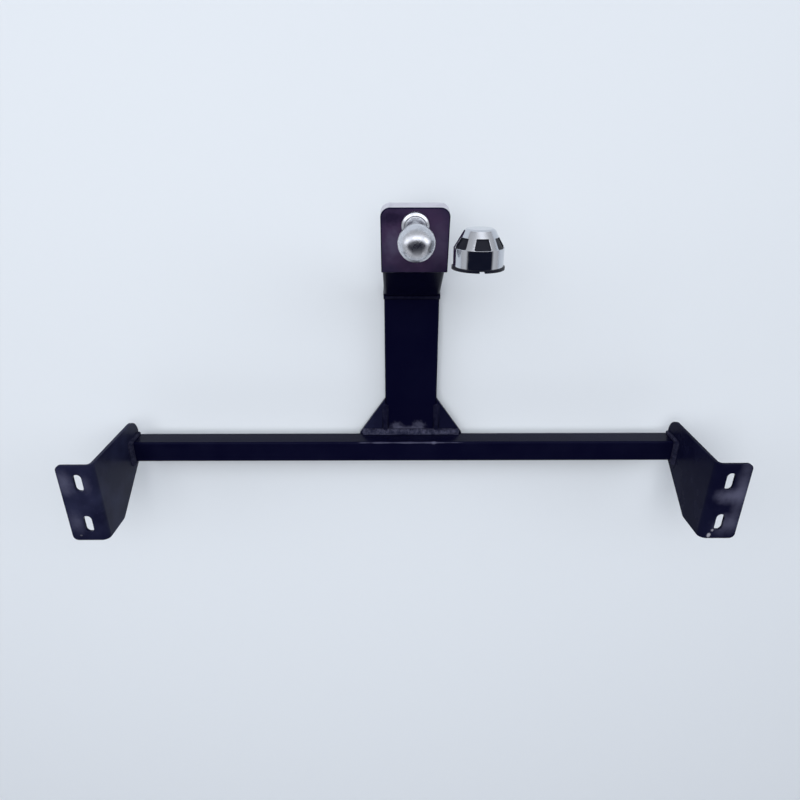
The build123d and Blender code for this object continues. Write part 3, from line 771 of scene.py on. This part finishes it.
class TOWBAR_OT_cap(Operator):
    """Finish the ball cap's shell and liner"""
    bl_idname = "towbar.cap"
    bl_label = "Ball cap"

    def execute(self, context):
        settings = context.scene.towbar_cap
        shell = merged_copy("pressed_cap_shell", "cap_shell")
        # The bend between its cylinder and its cone is about 30 degrees, and stays as it is
        soften(shell, settings.edge_radius, limit=40)
        low, high = BOX["cap_shell"]
        true_round(shell, (low + high) / 2, Vector((0, 1, 0)))
        stand_for(shell, "cap_shell", bright_chrome(settings))
        wear(frame["nodes"]["cap_liner"], moulded_liner(settings))
        return {"FINISHED"}


def floor_material(settings):
    """Painted board: pale and matt, so that it takes soft shadows and mirrors nothing."""
    made, tree = new_material("white_board")
    shader = add_node(tree, "ShaderNodeBsdfPrincipled", {
        "Base Color": settings.floor, "Roughness": 0.8, "Specular IOR Level": 0.2})
    add_node(tree, "ShaderNodeOutputMaterial", {"Surface": shader.outputs["BSDF"]})
    return made


def studio_world(settings):
    """A pale room whose ceiling has a dark middle, wider than it is deep, and a window towards the rear."""
    world = bpy.data.worlds.new("studio")
    world.use_nodes = True
    tree = world.node_tree
    tree.nodes.clear()
    toward = add_node(tree, "ShaderNodeTexCoord").outputs["Generated"]
    # How far a direction lies from the ceiling's dark middle
    dark_middle, dark_shape = (0, -0.2, 0.95), (0.66, 1.12, 1.0)
    offset = add_node(tree, "ShaderNodeVectorMath", {0: toward, 1: dark_middle}, operation="SUBTRACT")
    wide = add_node(tree, "ShaderNodeVectorMath", {0: offset.outputs["Vector"], 1: dark_shape},
                    operation="MULTIPLY")
    away = add_node(tree, "ShaderNodeVectorMath", {0: wide.outputs["Vector"]},
                    operation="LENGTH").outputs["Value"]
    dark = add_node(tree, "ShaderNodeMapRange", {"Value": away, "From Min": 0.82, "From Max": 0.62},
                    interpolation_type="SMOOTHSTEP")
    # The walls get brighter upwards
    parts = add_node(tree, "ShaderNodeSeparateXYZ", {"Vector": toward}).outputs
    wall = add_node(tree, "ShaderNodeMapRange", {"Value": parts["Z"], "From Min": 0.1, "From Max": 0.6,
                                                 "To Min": 0.65, "To Max": 0.8})
    # The window starts round the dark middle, ends further out and keeps to the rear and the sides
    window = wall.outputs["Result"]
    for measure, none, full in ((away, 0.72, 0.82), (away, 1.23, 1.0), (parts["Y"], -0.1, 0.15)):
        inside = add_node(tree, "ShaderNodeMapRange", {"Value": measure, "From Min": none, "From Max": full},
                          interpolation_type="SMOOTHSTEP")
        window = add_node(tree, "ShaderNodeMath", {0: window, 1: inside.outputs["Result"]},
                          operation="MULTIPLY").outputs["Value"]
    strength = add_node(tree, "ShaderNodeMath", {0: window, 1: settings.window, 2: wall.outputs["Result"]},
                        operation="MULTIPLY_ADD")
    shade = add_node(tree, "ShaderNodeMix", {"Factor": dark.outputs["Result"], MIX_A: settings.walls,
                                             MIX_B: settings.ceiling}, data_type="RGBA")
    sky = add_node(tree, "ShaderNodeBackground", {
        "Color": shade.outputs[MIX_RESULT], "Strength": strength.outputs["Value"]})
    add_node(tree, "ShaderNodeOutputWorld", {"Surface": sky.outputs["Background"]})
    return world


def soft_lamp(name, place, target, size, power):
    """A rectangular lamp that faces the target and doesn't show in glossy surfaces."""
    data = bpy.data.lights.new(name, "AREA")
    data.shape = "RECTANGLE"
    data.size, data.size_y = size
    data.energy = power
    lamp = bpy.data.objects.new(name, data)
    lamp.location = place
    lamp.rotation_euler = (Vector(target) - Vector(place)).to_track_quat("-Z", "Y").to_euler()
    lamp.visible_glossy = False
    bpy.context.scene.collection.objects.link(lamp)


class TOWBAR_OT_stage(Operator):
    """Add the pale floor, the soft lamp, the world and the camera"""
    bl_idname = "towbar.stage"
    bl_label = "Stage"

    def execute(self, context):
        settings = context.scene.towbar_stage
        mesh = bpy.data.meshes.new("floor")
        reach = settings.floor_reach
        mesh.from_pydata([(-reach, -reach, 0), (reach, -reach, 0), (reach, reach, 0), (-reach, reach, 0)], [],
                         [(0, 1, 2, 3)])
        floor = bpy.data.objects.new("floor", mesh)
        floor.location.z = -settings.floor_gap
        context.scene.collection.objects.link(floor)
        wear(floor, floor_material(settings))
        context.scene.world = studio_world(settings)
        # High above, behind and to the left, so that the soft shadows fall forward and to the right
        soft_lamp("sky_lamp", place=(-0.4, 1.0, 3.5), target=(0, 0.1, 0), size=(2.6, 2.0),
                  power=settings.lamp)
        data = bpy.data.cameras.new("camera")
        data.lens = settings.focal_length
        data.sensor_width = settings.sensor
        data.clip_start = 10 * MM
        camera = bpy.data.objects.new("camera", data)
        context.scene.collection.objects.link(camera)
        turn = (Matrix.Rotation(-settings.tilt, 4, "X") @ Matrix.Rotation(-settings.turn, 4, "Y")
                @ Matrix.Rotation(settings.roll, 4, "Z"))
        edge = Vector((0, BAR_HIGH.y, BAR_HIGH.z))
        camera.matrix_world = Matrix.Translation(edge + Vector(settings.camera_place)) @ turn
        context.scene.camera = camera
        context.scene.view_settings.view_transform = "Standard"
        return {"FINISHED"}


class TOWBAR_PT_finishes(Panel):
    """Lists the towbar's finishing steps"""
    bl_label = "Towbar"
    bl_idname = "TOWBAR_PT_finishes"
    bl_space_type = "VIEW_3D"
    bl_region_type = "UI"
    bl_category = "Towbar"

    def draw(self, context):
        for step in STEPS:
            self.layout.operator(step.bl_idname)


GROUPS = {"towbar_paint": PaintSettings, "towbar_weld": WeldSettings, "towbar_ball": BallSettings,
          "towbar_cap": CapSettings, "towbar_stage": StageSettings}
STEPS = (TOWBAR_OT_steelwork, TOWBAR_OT_welds, TOWBAR_OT_ball, TOWBAR_OT_cap, TOWBAR_OT_stage)


def register():
    """Registers the classes and adds the settings to the scene."""
    for made in (*GROUPS.values(), *STEPS, TOWBAR_PT_finishes):
        bpy.utils.register_class(made)
    for name, group in GROUPS.items():
        setattr(bpy.types.Scene, name, PointerProperty(type=group))


def unregister():
    """Takes the settings and the classes away again."""
    for name in GROUPS:
        delattr(bpy.types.Scene, name)
    for made in (TOWBAR_PT_finishes, *reversed(STEPS), *reversed(GROUPS.values())):
        bpy.utils.unregister_class(made)


def main():
    """Runs every step in order."""
    register()
    bpy.ops.towbar.steelwork()
    bpy.ops.towbar.welds()
    bpy.ops.towbar.ball()
    bpy.ops.towbar.cap()
    bpy.ops.towbar.stage()


if __name__ == "__main__":
    main()
